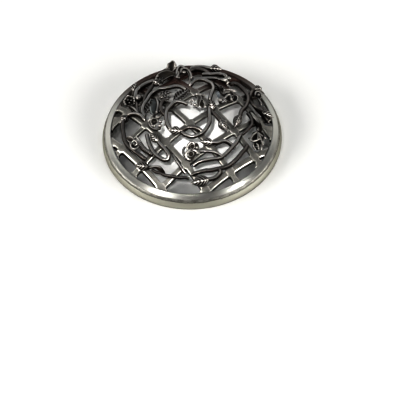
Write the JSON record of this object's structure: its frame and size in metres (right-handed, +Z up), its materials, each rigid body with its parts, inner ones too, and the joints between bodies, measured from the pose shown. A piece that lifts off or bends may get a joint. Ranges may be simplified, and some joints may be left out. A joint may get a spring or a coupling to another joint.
{
  "type": "floor drain grate",
  "caption": "Round domed floor drain grate: a polished rim ring bridged by a half-lapped square lattice, with leaf buds, blossoms and twining stems over the lattice.",
  "frame": {"origin": "centre of the rim's underside", "axes": "+Z up out of the drain, +Y towards the tall flower at the back"},
  "size_m": [0.127, 0.127, 0.0321],
  "materials": {
    "rim_metal": "polished band over a satin skirt",
    "lattice_metal": "antiqued casting, burnished on its edges",
    "vine_metal": "antiqued, burnished on its high spots",
    "bud_metal": "antiqued, burnished on its ridges",
    "flower_metal": "antiqued, burnished on its petal edges"
  },
  "bodies": {
    "root": {"rim_ring": "rim_metal", "through_bar_1": "lattice_metal", "through_bar_2": "lattice_metal", "through_bar_3": "lattice_metal", "through_bar_4": "lattice_metal", "through_bar_5": "lattice_metal", "cross_bar_1": "lattice_metal", "cross_bar_2": "lattice_metal", "cross_bar_3": "lattice_metal", "cross_bar_4": "lattice_metal", "cross_bar_5": "lattice_metal", "vine_left_outer": "vine_metal", "vine_left_loop": "vine_metal", "vine_upper_left_arc": "vine_metal", "vine_upper_left_inner": "vine_metal", "vine_upper_left_stout": "vine_metal", "vine_rim_bud_stem": "vine_metal", "vine_trumpet_stem": "vine_metal", "vine_centre_ring": "vine_metal", "vine_eye_lower": "vine_metal", "vine_eye_upper": "vine_metal", "vine_beside_ring": "vine_metal", "vine_back_flower_stem": "vine_metal", "vine_back_stout": "vine_metal", "vine_back_rim": "vine_metal", "vine_back_loop": "vine_metal", "vine_back_right": "vine_metal", "vine_right_trumpet_stem": "vine_metal", "vine_top_loop": "vine_metal", "vine_upper_right_inner": "vine_metal", "vine_right_arc": "vine_metal", "vine_right_braid": "vine_metal", "vine_right_twist": "vine_metal", "vine_right_inner": "vine_metal", "vine_lower_sweep": "vine_metal", "vine_front_sweep": "vine_metal", "vine_lower_short": "vine_metal", "vine_mid_bud_stem": "vine_metal", "vine_small_bud_stem": "vine_metal", "vine_front_hook": "vine_metal", "vine_left_flower_stem": "vine_metal", "vine_twisted_loop": "vine_metal", "vine_lower_left": "vine_metal", "vine_front_left": "vine_metal", "vine_along_bar": "lattice_metal", "leaf_buds_left": "bud_metal", "leaf_buds_back": "bud_metal", "leaf_buds_centre": "bud_metal", "leaf_buds_right": "bud_metal", "flower_back": "flower_metal", "flower_left_trumpet": "flower_metal", "flower_left": "flower_metal", "flower_centre_left": "flower_metal", "flower_upper_centre": "flower_metal", "flower_upper_right": "flower_metal", "flower_right_rim": "flower_metal", "flower_right": "flower_metal", "flower_lower_centre": "flower_metal", "flower_right_trumpet": "flower_metal"}
  },
  "joints": []
}
